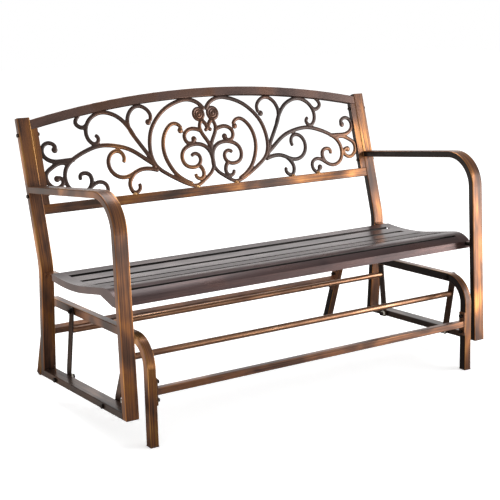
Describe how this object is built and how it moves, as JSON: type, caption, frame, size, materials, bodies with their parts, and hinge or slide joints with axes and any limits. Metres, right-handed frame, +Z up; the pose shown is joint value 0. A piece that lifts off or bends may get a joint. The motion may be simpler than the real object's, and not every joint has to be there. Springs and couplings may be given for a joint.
{
  "type": "glider bench",
  "caption": "Patio glider bench: slatted steel seat with arms and a cast scroll back, hung on swing links from a low standing base.",
  "frame": {"origin": "centre of the object's outline on the floor, below its middle", "axes": "+X across the bench to the sitter's left, +Y to the rear, +Z up; the picture shows it from the front left"},
  "size_m": [1.285, 0.7354, 0.8624],
  "materials": {
    "bench_frame": "antique copper powder coat, brushed streaks",
    "base_frame": "antique copper powder coat",
    "back_frame": "antique copper powder coat, darker",
    "links": "antique copper powder coat",
    "scroll_casting": "cast, painted dark bronze",
    "seat_sheet": "powder coat, dark brown-grey",
    "fasteners": "black oxide",
    "plastic_feet": "moulded",
    "nylon_bush": "moulded"
  },
  "bodies": {
    "base": {"base_side_left": "base_frame", "base_side_right": "base_frame", "base_front_crossbar": "base_frame", "base_rear_crossbar": "base_frame", "base_front_end_plates": "base_frame", "base_rear_end_plates": "base_frame", "base_front_glides": "plastic_feet", "base_rear_glides": "plastic_feet", "base_crossbar_bolts": "fasteners", "base_crossbar_nuts": "fasteners", "upper_pivot_bolts": "fasteners", "upper_pivot_spacers": "fasteners", "upper_pivot_nuts": "fasteners"},
    "front_swing": {"front_link_left": "links", "front_link_right": "links", "front_cross_tube": "links", "front_upper_bushes": "nylon_bush", "front_lower_bushes": "nylon_bush"},
    "rear_swing": {"rear_link_left": "links", "rear_link_right": "links", "rear_cross_tube": "links", "rear_upper_bushes": "nylon_bush", "rear_lower_bushes": "nylon_bush"},
    "bench": {"back_bottom_rail": "back_frame", "back_panel_bolts": "fasteners", "back_panel_nuts": "fasteners", "back_top_rail": "back_frame", "bench_foot_plugs": "plastic_feet", "left_arm_and_leg": "bench_frame", "left_back_post": "bench_frame", "left_bottom_rail": "bench_frame", "left_scroll": "scroll_casting", "left_seat_rail": "seat_sheet", "left_side_bar": "back_frame", "lower_pivot_bolts": "fasteners", "lower_pivot_collars": "nylon_bush", "lower_pivot_nuts": "fasteners", "lower_pivot_spacers": "fasteners", "post_caps": "plastic_feet", "right_arm_and_leg": "bench_frame", "right_back_post": "bench_frame", "right_bottom_rail": "bench_frame", "right_scroll": "scroll_casting", "right_seat_rail": "seat_sheet", "right_side_bar": "back_frame", "scroll_heart": "scroll_casting", "seat_bolts": "fasteners", "seat_centre_strap": "seat_sheet", "seat_front_slat": "seat_sheet", "seat_front_spacers": "fasteners", "seat_nuts": "fasteners", "seat_rear_brackets": "bench_frame", "seat_slat_2": "seat_sheet", "seat_slat_3": "seat_sheet", "seat_slat_4": "seat_sheet", "seat_slat_5": "seat_sheet", "seat_slat_6": "seat_sheet"}
  },
  "joints": [
    {"name": "front_swing_hinge", "type": "hinge", "parent": "base", "child": "front_swing", "pos_m": [0, -0.27115, 0.28174], "axis": [1, 0, 0], "range_deg": [-10, 10]},
    {"name": "bench_hinge", "type": "hinge", "parent": "front_swing", "child": "bench", "pos_m": [0, -0.22301, 0.0879], "axis": [1, 0, 0], "range_deg": [-12.5, 12.5]},
    {"name": "rear_swing_hinge", "type": "hinge", "parent": "base", "child": "rear_swing", "pos_m": [0, 0.08463, 0.26907], "axis": [1, 0, 0], "range_deg": [-11, 11]}
  ],
  "couplings": [
    {"joint": "bench_hinge", "follows": "front_swing_hinge", "ratio": -1.1726},
    {"joint": "rear_swing_hinge", "follows": "front_swing_hinge", "ratio": 0.9775}
  ]
}
